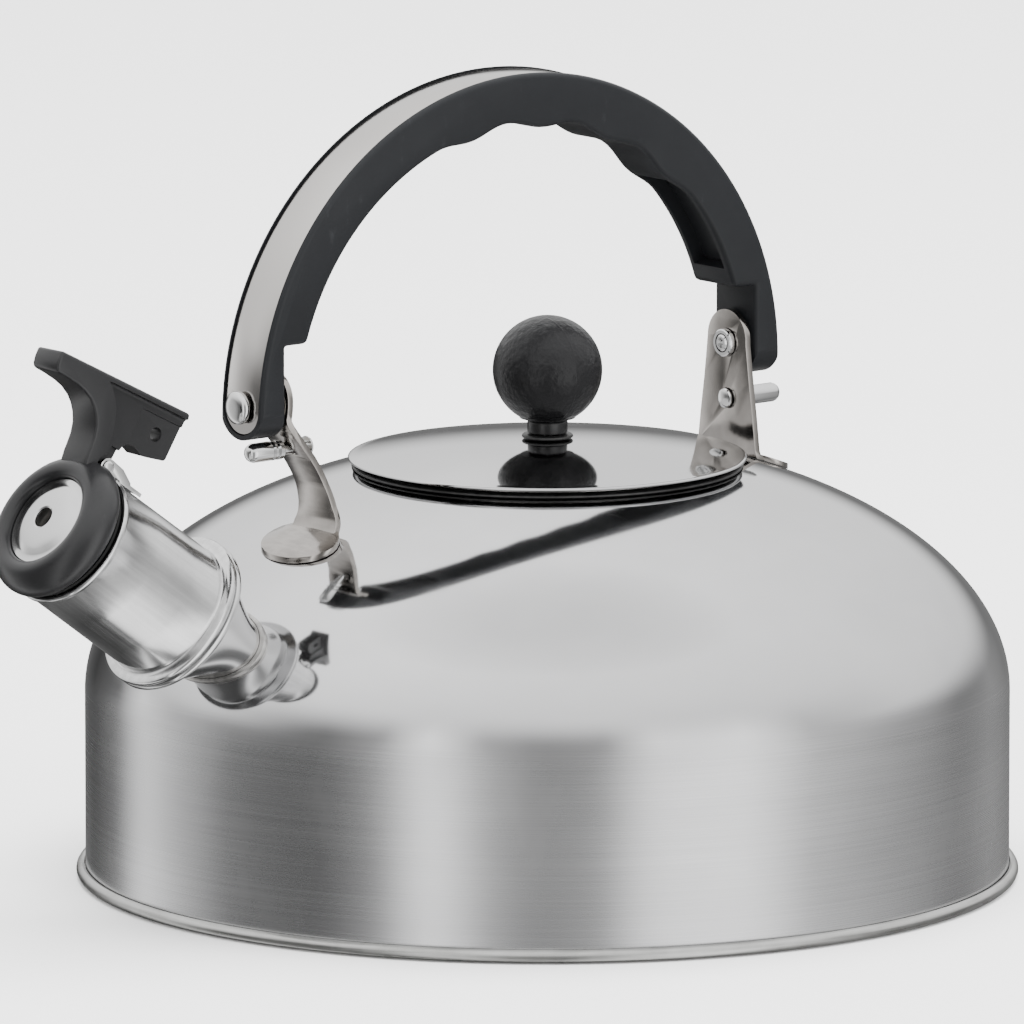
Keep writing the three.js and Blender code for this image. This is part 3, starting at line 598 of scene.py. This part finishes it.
def makeCollar():
    inner = body["openingRadius"] - body["collarInset"]
    low = rimHeight - body["collarDepth"]
    rim = rimHeight
    r = body["openingRadius"]
    collar = turned("fillingCollar", [
        [inner, low], [inner + 0.8, low], [inner + 0.8, rim + 0.35],
        [r - 0.6, rim + 0.3], [r - 0.1, rim + 0.3], [r + 0.1, rim + 0.5], [r, rim + 0.8],
        [r - 0.5, rim + 1.1], [r - 1.2, rim + 1.3], [inner + 0.5, rim + 1.4],
        [inner + 0.15, rim + 1.25], [inner, rim + 1.0]], 144, soften=0.1)
    # the collar's near-black steel is painted shade for the dark gap under the lid rim
    finishPiece(collar, "kettle", "polished_steel", looks["collar"], "filling_collar")


def makeBase():
    seam = body["seamRadius"]
    wall, sheet, gap = body["radius"], body["sheet"], body["gap"]
    plate = turned("baseSeam", [
        [0, 2.7], [60, 2.7], [103.5, 2.7], [105.6, 1.5], [107.2, 0.5], [108.6, 0.05], [110.3, 0.0],
        [111.2, 0.25], [111.75, 0.75], [seam, 1.4], [111.95, 2.0], [111.6, 2.6], [111.1, 3.0],
        [110.7, 3.2], [wall + gap, 3.05], [wall + gap, 1.5], [wall - sheet - gap, 1.5],
        [wall - sheet - gap, 3.0],
        [105, 3.7], [60, 3.7], [0, 3.7]], body["steps"], close=False)
    finishPiece(plate, "kettle", "satin_steel", looks["seam"], "base_plate")
    disc = turned("baseHeatDisc", [
        [0, 0.0], [20, 0.0], [20.6, 0.25], [21.4, 0.25], [22, 0.0], [58, 0.0], [58.6, 0.25],
        [59.4, 0.25], [60, 0.0], [95.4, 0.0], [96.2, 0.2], [96.6, 0.7], [96.6, 2.4], [0, 2.4]],
        160, close=False)
    finishPiece(disc, "kettle", "satin_steel", looks["dull"], "base_heat_disc")


makeShell()
makeCollar()
makeBase()
print("stage: body made")


# spout

spout = {
    "neckTop": 14.2,
    "neckOuter": 16.1,
    "neckWall": 1.1,
    "pinch": 0.42,
    "flangeRadius": 19.5,
    "sleeveRadius": 16.7,
    "sleeveEnd": 51.6,
}


def pinchRings(piece):
    # each ring near the root is squeezed to an oval with the resize operator
    makeActive(piece)
    top = spout["neckTop"] - 2
    heights = sorted({round(v.co.z / mm, 2) for v in piece.data.vertices})
    for height in heights:
        run = min(1.0, max(0.0, (top - height) / top))
        if run <= 0:
            continue
        ease = run * run * (3 - 2 * run)
        bpy.ops.object.mode_set(mode="EDIT")
        bpy.ops.mesh.select_all(action="DESELECT")
        bpy.ops.object.mode_set(mode="OBJECT")
        for v in piece.data.vertices:
            v.select = abs(v.co.z / mm - height) < 0.02
        bpy.ops.object.mode_set(mode="EDIT")
        bpy.ops.transform.resize(value=(1 - spout["pinch"] * ease, 1, 1), center_override=(0, 0, 0))
    bpy.ops.mesh.select_all(action="SELECT")
    bpy.ops.object.mode_set(mode="OBJECT")


def wallRings(radius, low, high, step):
    count = max(1, round((high - low) / step))
    return [[radius, low + (high - low) * i / count] for i in range(count + 1)]


def makeSpout():
    top = spout["neckTop"]
    outer = spout["neckOuter"]
    inner = outer - spout["neckWall"]
    flange = spout["flangeRadius"]
    profile = wallRings(outer, -9, top - 3.0, 1.0)
    profile += [[outer + 0.25, top - 2.4], [outer + 0.9, top - 1.95], [flange - 0.6, top - 1.75],
                [flange - 0.15, top - 1.55], [flange, top - 1.2], [flange, top - 0.55],
                [flange - 0.15, top - 0.2], [flange - 0.5, top], [inner, top]]
    profile += list(reversed(wallRings(inner, -9, top - 2.2, 1.0)))
    neck = turned("spoutNeck", profile, 112)
    pinchRings(neck)
    carry(neck, onSpout)
    combine(neck, domeBlock("neckCutter", 0.15), "DIFFERENCE")
    smoothShade(neck, 40)
    finishPiece(neck, "kettle", "polished_steel", looks["neck"], "spout_neck")

    bead = turned("spoutWeld", wallRings(outer + 0.1, -9, 7, 1.0)
                  + list(reversed(wallRings(outer + 1.35, -9, 7, 1.0))), 112)
    pinchRings(bead)
    carry(bead, onSpout)
    combine(bead, domeBlock("beadKeep", 0.95), "INTERSECT")
    combine(bead, domeBlock("beadCutter", 0.05), "DIFFERENCE")
    softenEdges(bead, 0.35, 2, 40)
    smoothShade(bead, 60)
    finishPiece(bead, "kettle", "satin_steel", looks["weld"], "spout_weld")

    r = spout["sleeveRadius"]
    end = spout["sleeveEnd"]
    low = top + 0.3
    sleeve = turned("spoutSleeve", [
        [r - 1.6, low], [flange - 0.5, low], [flange - 0.12, low + 0.15], [flange, low + 0.55],
        [flange, low + 1.2], [flange - 0.15, low + 1.55], [flange - 0.6, low + 1.75],
        [r + 1.2, low + 1.85], [r + 0.5, low + 1.95], [r + 0.15, low + 2.2], [r, low + 2.7],
        [r - 0.03, low + 12], [r - 0.06, low + 24], [r - 0.1, end - 1.7], [r + 0.05, end - 1.35],
        [r + 0.32, end - 1.0], [r + 0.4, end - 0.6], [r + 0.3, end - 0.2], [r, end],
        [r - 0.6, end], [r - 1.1, end - 0.4], [r - 1.2, end - 1.2], [r - 1.2, top + 3.8],
        [r - 1.6, top + 2.5]], 128, onSpout)
    finishPiece(sleeve, "kettle", "polished_steel", looks["sleeve"], "spout_sleeve")


makeSpout()
print("stage: spout made")


# whistle cap, lever and hinge

whistle = {
    "pinS": 55.0,
    "pinN": 17.4,
    "pinRadius": 0.9,
    "leverThickness": 9.5,
    "leverEdge": 1.0,
    "webDepth": 1.5,
    "pocketDepth": 2.0,
    "recess": 11.2,
    "radius": 18.0,
    "boreTop": 58.4,
    "gap": 0.3,
}


def makeCap():
    recess = whistle["recess"]
    bore = capBore()
    cap = turned("whistleCap", [
        [bore, 53.2], [15.2, 53.2], [15.9, 53.25], [16.6, 53.5], [17.2, 53.9], [17.65, 54.6],
        [17.9, 55.4], [whistle["radius"], 56.3], [17.9, 57.15], [17.6, 58.0], [17.15, 58.9],
        [16.6, 59.6], [15.95, 60.35], [15.3, 60.9], [14.6, 61.35], [13.9, 61.58], [13.3, 61.6],
        [12.75, 61.5], [12.2, 61.3], [11.7, 61.0], [11.4, 60.6], [recess, 60.0], [recess, 58.5],
        [bore, 58.5]], 128, onSpout)
    lever = slabPiece("whistleLever", [
        [52.9, 14.5], [60.2, 13.4], [61.0, 15.0], [61.5, 17.0], [61.8, 19.2], [62.2, 21.4],
        [63.1, 23.7], [64.5, 25.6], [66.2, 27.1], [68.2, 28.2], [70.7, 28.9], [73.4, 29.1],
        [77.0, 28.95], [80.4, 28.6], [81.1, 29.4], [81.6, 30.9], [81.9, 33.4], [40.3, 39.8],
        [39.9, 38.4], [39.3, 27.4], [46.2, 25.2], [49.2, 25.8], [51.6, 25.3], [52.6, 24.3],
        [52.9, 22.8]], whistle["leverThickness"], inSpout, whistle["leverEdge"])
    combine(cap, lever, "UNION")
    half = whistle["leverThickness"] / 2
    web = [[36, 39.0], [66, 34.4], [63.9, 33.3], [62.0, 31.8], [60.4, 30.0], [59.2, 28.0],
           [58.3, 25.8], [57.7, 23.6], [57.3, 21.4], [57.1, 19.4], [51, 19.4], [36, 19.4]]
    pocket = [[36, 36.9], [52.6, 34.4], [50.9, 22], [36, 22]]
    for side in (-1, 1):
        slide = Matrix.Translation(sideways * side * half * mm)
        for name, outline, depth in (("webCutter", web, whistle["webDepth"]),
                                     ("pocketCutter", pocket, whistle["pocketDepth"])):
            tool = slabPiece(name, outline, depth * 2, slide @ inSpout,
                             1.1 if outline is web else 0.3)
            combine(cap, tool, "DIFFERENCE")
        slotTool = slabPiece("slotCutter", [[47, 13.8], [55.4, 13.8], [55.4, 22.8], [47, 22.8]], 4.2,
                             Matrix.Translation(sideways * side * 4.3 * mm) @ inSpout)
        combine(cap, slotTool, "DIFFERENCE")
        combine(cap, spoutBar("rootCutter", 3.0, whistle["pinS"], whistle["pinN"],
                              side * 4.3 - 2.1, side * 4.3 + 2.1), "DIFFERENCE")
    combine(cap, spoutBar("holeCutter", 1.7, 45.2, 31.3, -8, 8), "DIFFERENCE")
    pinHole = whistle["pinRadius"] + whistle["gap"]
    combine(cap, spoutBar("pinCutter", pinHole, whistle["pinS"], whistle["pinN"], -8, 8), "DIFFERENCE")
    softenEdges(cap, 0.22, 2, 40)
    smoothShade(cap, 38)
    finishPiece(cap, "whistle", "black_plastic", looks["lever"], "whistle_cap")


def capBore():
    # the hole through the cap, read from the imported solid
    inverse = onSpout.inverted()
    spots = [inverse @ v.co for v in nodes["whistle_cap"].data.vertices]
    return min(math.hypot(p.x, p.y) / mm for p in spots if p.z / mm < whistle["boreTop"])


def makeWhistleDiscs():
    outer = turned("whistleDiscOuter", [
        [2.6, 60.55], [3.9, 60.5], [5.2, 60.3], [6.6, 60.05], [7.8, 59.65], [9.0, 59.0],
        [9.6, 58.8], [10.9, 58.8], [10.9, 59.4], [9.9, 59.42], [9.2, 59.7], [8.0, 60.3],
        [6.8, 60.7], [5.3, 61.0], [3.9, 61.15], [2.9, 61.2], [2.55, 61.0], [2.5, 60.75]],
        112, onSpout)
    finishPiece(outer, "whistle", "polished_steel", looks["bright"], "whistle_disc_outer")
    inner = turned("whistleDiscInner", [
        [2.4, 54.9], [3.7, 54.95], [5.0, 55.2], [6.2, 55.6], [7.0, 56.1], [7.8, 57.1],
        [8.2, 57.6], [9.2, 57.6], [9.2, 58.2], [7.9, 58.2], [7.3, 57.5], [6.6, 56.6],
        [5.8, 56.1], [4.8, 55.8], [3.6, 55.55], [2.4, 55.5]], 96, onSpout)
    finishPiece(inner, "whistle", "satin_steel", looks["dull"], "whistle_disc_inner")
    end = spout["sleeveEnd"]
    seal = turned("whistleSeal", [
        [10.2, end + 0.3], [12.6, end + 0.3], [12.8, end - 1.2], [13.2, end - 2.2],
        [13.7, end - 2.4], [14.2, end - 2.2], [14.5, end - 1.2], [14.7, end + 0.3],
        [15.9, end + 0.3], [16.0, end + 0.65], [15.9, end + 1.0], [10.2, end + 1.0]], 96, onSpout)
    finishPiece(seal, "whistle", "black_rubber", looks["seal"], "whistle_seal")


def makeHinge():
    bracket = refinedCopy("hingeBracket", "hinge_bracket", 0.16, 2, 40)
    finishPiece(bracket, "kettle", "satin_steel", looks["bright"], "hinge_bracket")
    spot = spoutStart + spoutAxis * whistle["pinS"] * mm + spoutAcross * whistle["pinN"] * mm
    pin = turned("hingePin", [
        [0, -5.95], [0.9, -5.93], [1.3, -5.8], [1.5, -5.6], [1.5, -5.5], [0.9, -5.45], [0.9, 5.45],
        [1.5, 5.5], [1.5, 5.6], [1.3, 5.8], [0.9, 5.93], [0, 5.95]], 48,
        frameMatrix(spoutAxis, spoutAcross, sideways, spot), close=False)
    finishPiece(pin, "kettle", "satin_steel", looks["bright"], "hinge_pin")
    nodes["whistle_spring"].data.materials.clear()
    nodes["whistle_spring"].data.materials.append(looks["bright"])


makeCap()
makeWhistleDiscs()
makeHinge()
print("stage: whistle made")


# lid

lid = {
    "radius": 47.3,
    "edge": 100.55,
    "crown": 104.6,
    "knobRadius": 13.0,
    "knobCentre": 121.0,
    "screwClear": 2.3,
    "sheet": 0.9,
}


def lidTop(radius):
    edge = lid["radius"] - 1.0
    drop = lid["crown"] - lid["edge"]
    ball = (edge * edge + drop * drop) / (2 * drop)
    return lid["crown"] - ball + math.sqrt(ball * ball - radius * radius)


def makeLid():
    clear = lid["screwClear"]
    r = lid["radius"]
    edge = lid["edge"]
    upper = [clear + (r - 1.0 - clear) * i / 30 for i in range(31)]
    upper = [[a, lidTop(a)] for a in upper]
    lower = [clear + (r - 1.6 - clear) * (20 - i) / 20 for i in range(21)]
    lower = [[a, lidTop(a) - lid["sheet"]] for a in lower]
    rim = [[r - 0.5, edge - 0.01], [r - 0.2, edge - 0.1], [r - 0.05, edge - 0.25], [r, edge - 0.42],
           [r - 0.08, edge - 0.62], [r - 0.3, edge - 0.77], [r - 0.7, edge - 0.8],
           [r - 1.2, edge - 0.84]]
    plate = turned("lidPlate", upper + rim + lower, 176)
    finishPiece(plate, "lid", "polished_steel", looks["lid"], "lid_plate")
    ring = turned("lidLocatingRing", [
        [39.0, lidTop(39.0) - 1.3], [41.6, lidTop(41.6) - 1.3], [42.3, lidTop(42.0) - 1.6],
        [42.6, lidTop(42.6) - 2.2], [42.6, 92.7], [42.45, 92.4], [41.95, 92.4], [41.8, 92.7],
        [41.8, lidTop(41.8) - 2.4], [41.5, lidTop(41.5) - 2.15], [41.0, lidTop(41.0) - 2.1],
        [39.0, lidTop(39.0) - 2.1]], 144)
    finishPiece(ring, "lid", "satin_steel", looks["dull"], "lid_locating_ring")


def makeKnob():
    clear = lid["screwClear"]
    crown = lid["crown"]
    flat = crown + 4.8
    centre, radius = lid["knobCentre"], lid["knobRadius"]
    start = math.asin((flat + 0.5 - centre) / radius)
    profile = [[0, flat + 8.3], [clear, flat + 8.3], [clear, flat], [4.6, flat],
               [radius * math.cos(start) - 0.7, flat + 0.02],
               [radius * math.cos(start) - 0.2, flat + 0.16]]
    for i in range(41):
        t = start + (math.pi / 2 - start) * i / 40
        profile.append([0 if i == 40 else radius * math.cos(t), centre + radius * math.sin(t)])
    knob = turned("lidKnob", profile, 112, close=False)
    finishPiece(knob, "lid", "black_plastic", looks["knob"], "lid_knob")
    collar = turned("knobCollar", [
        [clear, crown + 1.4], [4.5, crown + 1.4], [4.75, crown + 1.55], [4.8, crown + 1.9],
        [4.8, flat - 1.0], [4.72, flat - 0.6], [4.5, flat - 0.3], [clear, flat - 0.3]], 64)
    finishPiece(collar, "lid", "polished_steel", looks["lever"], "knob_collar")
    washer = turned("knobWasher", [
        [clear, crown + 0.35], [5.7, crown + 0.22], [6.0, crown + 0.35], [6.1, crown + 0.6],
        [6.0, crown + 0.9], [5.7, crown + 1.1], [clear, crown + 1.1]], 64)
    # the washer's near-black steel is painted shade under the knob
    finishPiece(washer, "lid", "polished_steel", looks["collar"], "knob_washer")
    screw = turned("lidScrew", [
        [0, crown - 3.2], [0.6, crown - 3.2], [0.8, crown - 3.8], [3.3, crown - 3.75],
        [3.9, crown - 3.5], [4.2, crown - 3.1], [4.2, crown - 2.0], [2.0, crown - 2.0],
        [2.0, flat + 7.6], [0, flat + 7.6]], 64, close=False)
    finishPiece(screw, "lid", "satin_steel", looks["bright"], "lid_screw")
    under = turned("lidScrewWasher", [
        [clear, crown - 1.75], [5.8, crown - 1.75], [6.0, crown - 1.6], [6.0, crown - 1.4],
        [5.8, crown - 1.25], [clear, crown - 1.25]], 64)
    finishPiece(under, "lid", "satin_steel", looks["dull"], "lid_screw_washer")


makeLid()
makeKnob()
print("stage: lid made")


# handle

handle = {
    "centreX": -13.6,
    "halfSpan": 79.3,
    "rise": 75.4,
    "drop": 3.4,
    "pivot": 121.8,
    "width": 15.6,
    "leg": 7.5,
    "grip": 11.4,
    "strip": 1.4,
    "edge": 1.3,
    "waveFrom": -22.0,
    "wavePitch": 18.0,
    "waveCount": 4,
    "waveDepth": 1.7,
    "step": 14.5,
    "waveEdge": 0.285,
    "coreFrom": 0.36,
    "coreTo": 0.82,
    "boltHole": 2.3,
    "washerHole": 2.3,
    "bracketSheet": 1.5,
    "bracketClear": 1.2,
    "gap": 0.3,
    "frontStud": (-81.18, 110.6),
    "rearStudHeight": 108.3,
}


def archPoint(t, inset):
    nx = math.cos(t) / handle["halfSpan"]
    nz = math.sin(t) / handle["rise"]
    size = math.hypot(nx, nz)
    return [handle["centreX"] + handle["halfSpan"] * math.cos(t) - inset * nx / size,
            handle["pivot"] - handle["drop"] + handle["rise"] * math.sin(t) - inset * nz / size]


archLow = handle["pivot"] - handle["width"] / 2 - 5


def archOutline(outerInset, innerInset, steps):
    span, cx = handle["halfSpan"], handle["centreX"]
    out = [[cx - span + outerInset, archLow]]
    out += [archPoint(math.pi * (1 - i / steps), outerInset) for i in range(steps + 1)]
    out += [[cx + span - outerInset, archLow], [cx + span - innerInset, archLow]]
    out += [archPoint(math.pi * i / steps, innerInset) for i in range(steps + 1)]
    out += [[cx - span + innerInset, archLow]]
    return out


def gripOutline():
    left = handle["centreX"] - handle["halfSpan"]
    right = handle["centreX"] + handle["halfSpan"]
    stepHeight = handle["pivot"] + handle["step"]
    out = [[left, archLow]]
    out += [archPoint(math.pi * (1 - i / 88), 0) for i in range(89)]
    out += [[right, archLow], [right - handle["leg"], archLow], [right - handle["leg"], stepHeight]]
    start = handle["waveEdge"]
    for i in range(121):
        t = start + (math.pi - 2 * start) * i / 120
        lean = math.degrees(math.pi / 2 - t)
        inset = handle["grip"]
        if handle["waveFrom"] < lean < handle["waveFrom"] + handle["waveCount"] * handle["wavePitch"]:
            swing = math.cos((lean - handle["waveFrom"]) / handle["wavePitch"] * math.tau)
            inset += handle["waveDepth"] / 2 * (1 - swing)
        out.append(archPoint(t, inset))
    out += [[left + handle["leg"], stepHeight], [left + handle["leg"], archLow]]
    return out


def endMask(name, radius):
    # outline in the local X-Z plane, which stands across the kettle
    out = [[-radius, 230.0]]
    out += [[radius * math.cos(math.pi + math.pi * i / 32),
             handle["pivot"] + radius * math.sin(math.pi + math.pi * i / 32)] for i in range(33)]
    out.append([radius, 230.0])
    turn = frameMatrix(Vector((0, 1, 0)), Vector((-1, 0, 0)), Vector((0, 0, 1)), Vector((0, 0, 0)))
    return slabPiece(name, out, 260, turn)


def boltBar(name):
    spot = Vector((0, 0, handle["pivot"] * mm))
    return barPiece(name, handle["boltHole"], 260, frameMatrix(Vector((0, 1, 0)), Vector((0, 0, 1)),
                                                               Vector((1, 0, 0)), spot))


def makeGrip():
    width = handle["width"]
    grip = slabPiece("handleGrip", gripOutline(), width, None, handle["edge"], 4, 28)
    combine(grip, endMask("gripMask", width / 2), "INTERSECT")
    channel = slabPiece("channelCutter", archOutline(-3, handle["strip"] + 0.2, 88), width - 2.4)
    combine(channel, endMask("channelMask", width / 2 - 1.2), "INTERSECT")
    combine(grip, channel, "DIFFERENCE")
    for side in (0, 1):
        low, high, steps = handle["coreFrom"], handle["coreTo"], 20
        angles = [low + (high - low) * i / steps for i in range(steps + 1)]
        core = [archPoint(math.pi - t if side else t, handle["leg"] + 0.5) for t in angles]
        core += [archPoint(math.pi - t if side else t, handle["grip"] + 4) for t in reversed(angles)]
        combine(grip, slabPiece("coreCutter", core, width - 4.4), "DIFFERENCE")
    combine(grip, boltBar("gripDrill"), "DIFFERENCE")
    smoothShade(grip, 35)
    finishPiece(grip, "handle", "black_plastic", looks["grip"], "handle_grip")

    strip = slabPiece("handleStrip", archOutline(0.35, handle["strip"], 88), width - 3.0,
                      None, 0.25, 2, 40)
    combine(strip, endMask("stripMask", width / 2 - 1.5), "INTERSECT")
    combine(strip, boltBar("stripDrill"), "DIFFERENCE")
    smoothShade(strip, 35)
    finishPiece(strip, "handle", "polished_steel", looks["stripMirror"], "handle_strip")


def makeBrackets():
    front = refinedCopy("frontBracket", "front_bracket", 0.22, 2, 40)
    finishPiece(front, "kettle", "satin_steel", looks["bracket"], "front_bracket")
    rear = refinedCopy("rearBracket", "rear_bracket", 0.22, 2, 40)
    finishPiece(rear, "kettle", "satin_steel", looks["bracket"], "rear_bracket")


def alongX(x, z, flip):
    way = -1 if flip else 1
    return frameMatrix(Vector((0, 0, -way)), Vector((0, 1, 0)), Vector((way, 0, 0)),
                       Vector((x * mm, 0, z * mm)))


def studProfile(tail, reach):
    return [[0, -tail], [1.6, -tail + 0.05], [2.2, -tail + 0.3], [2.4, -tail + 0.6], [2.4, -tail + 0.9],
            [1.3, -tail + 0.95], [1.3, 0], [2.2, 0], [2.3, 0.15], [2.3, 1.25], [2.1, 1.5], [1.9, 1.7],
            [2.1, 1.9], [2.3, 2.1], [2.3, 2.7], [2.1, 2.9], [1.9, 3.1], [2.1, 3.3], [2.3, 3.5],
            [2.3, reach - 1.8], [2.1, reach - 1.2], [1.8, reach - 0.7], [1.4, reach - 0.35],
            [0.9, reach - 0.12], [0, reach]]


def makeFixings():
    half = handle["bracketSheet"] / 2
    plate = handle["halfSpan"] - handle["leg"] - handle["bracketClear"] - half
    inner = plate - half
    stripFace = handle["halfSpan"] + handle["gap"]
    rearPlate = handle["centreX"] + plate
    stud = turned("stopStudFront", studProfile(8.62, 10.0), 56, alongX(*handle["frontStud"], True),
                  close=False)
    finishPiece(stud, "kettle", "polished_steel", looks["bright"], "stop_stud_front")
    rearStudX = rearPlate + half + handle["gap"]
    stud = turned("stopStudRear", studProfile(3.0, 14.0), 56,
                  alongX(rearStudX, handle["rearStudHeight"], False), close=False)
    finishPiece(stud, "kettle", "polished_steel", looks["bright"], "stop_stud_rear")
    for label, flip in (("front", True), ("rear", False)):
        name = label.capitalize()
        place = alongX(handle["centreX"], handle["pivot"], flip)
        bolt = turned("pivotBolt" + name, [
            [0, inner - 1.1], [0.9, inner - 1.1], [1.15, inner - 1.9], [1.6, inner - 1.9],
            [2.0, inner - 1.6], [2.0, stripFace], [3.85, stripFace], [3.95, stripFace + 0.15],
            [3.95, stripFace + 0.8], [3.8, stripFace + 1.2], [3.3, stripFace + 1.65],
            [2.7, stripFace + 1.9], [2.0, stripFace + 2.03], [1.0, stripFace + 2.09],
            [0, stripFace + 2.1]], 56, place, close=False)
        finishPiece(bolt, "kettle", "polished_steel", looks["bright"], "pivot_bolt_" + label)
        near = inner + handle["bracketSheet"] + handle["gap"]
        hole = handle["washerHole"]
        washer = turned("pivotWasher" + name, [
            [hole, near], [5.5, near], [5.6, near + 0.15], [5.6, near + 0.45], [5.5, near + 0.6],
            [hole, near + 0.6]], 56, place)
        finishPiece(washer, "kettle", "satin_steel", looks["dull"], "pivot_washer_" + label)
        nut = turned("pivotNut" + name, [
            [hole, inner - 1.6], [3.0, inner - 1.6], [3.3, inner - 1.4], [3.4, inner - 1.1],
            [3.4, inner - 0.3], [hole, inner - 0.3]], 56, place)
        finishPiece(nut, "kettle", "satin_steel", looks["bright"], "pivot_nut_" + label)


makeGrip()
makeBrackets()
makeFixings()
clearSelection()
print("stage: handle made")
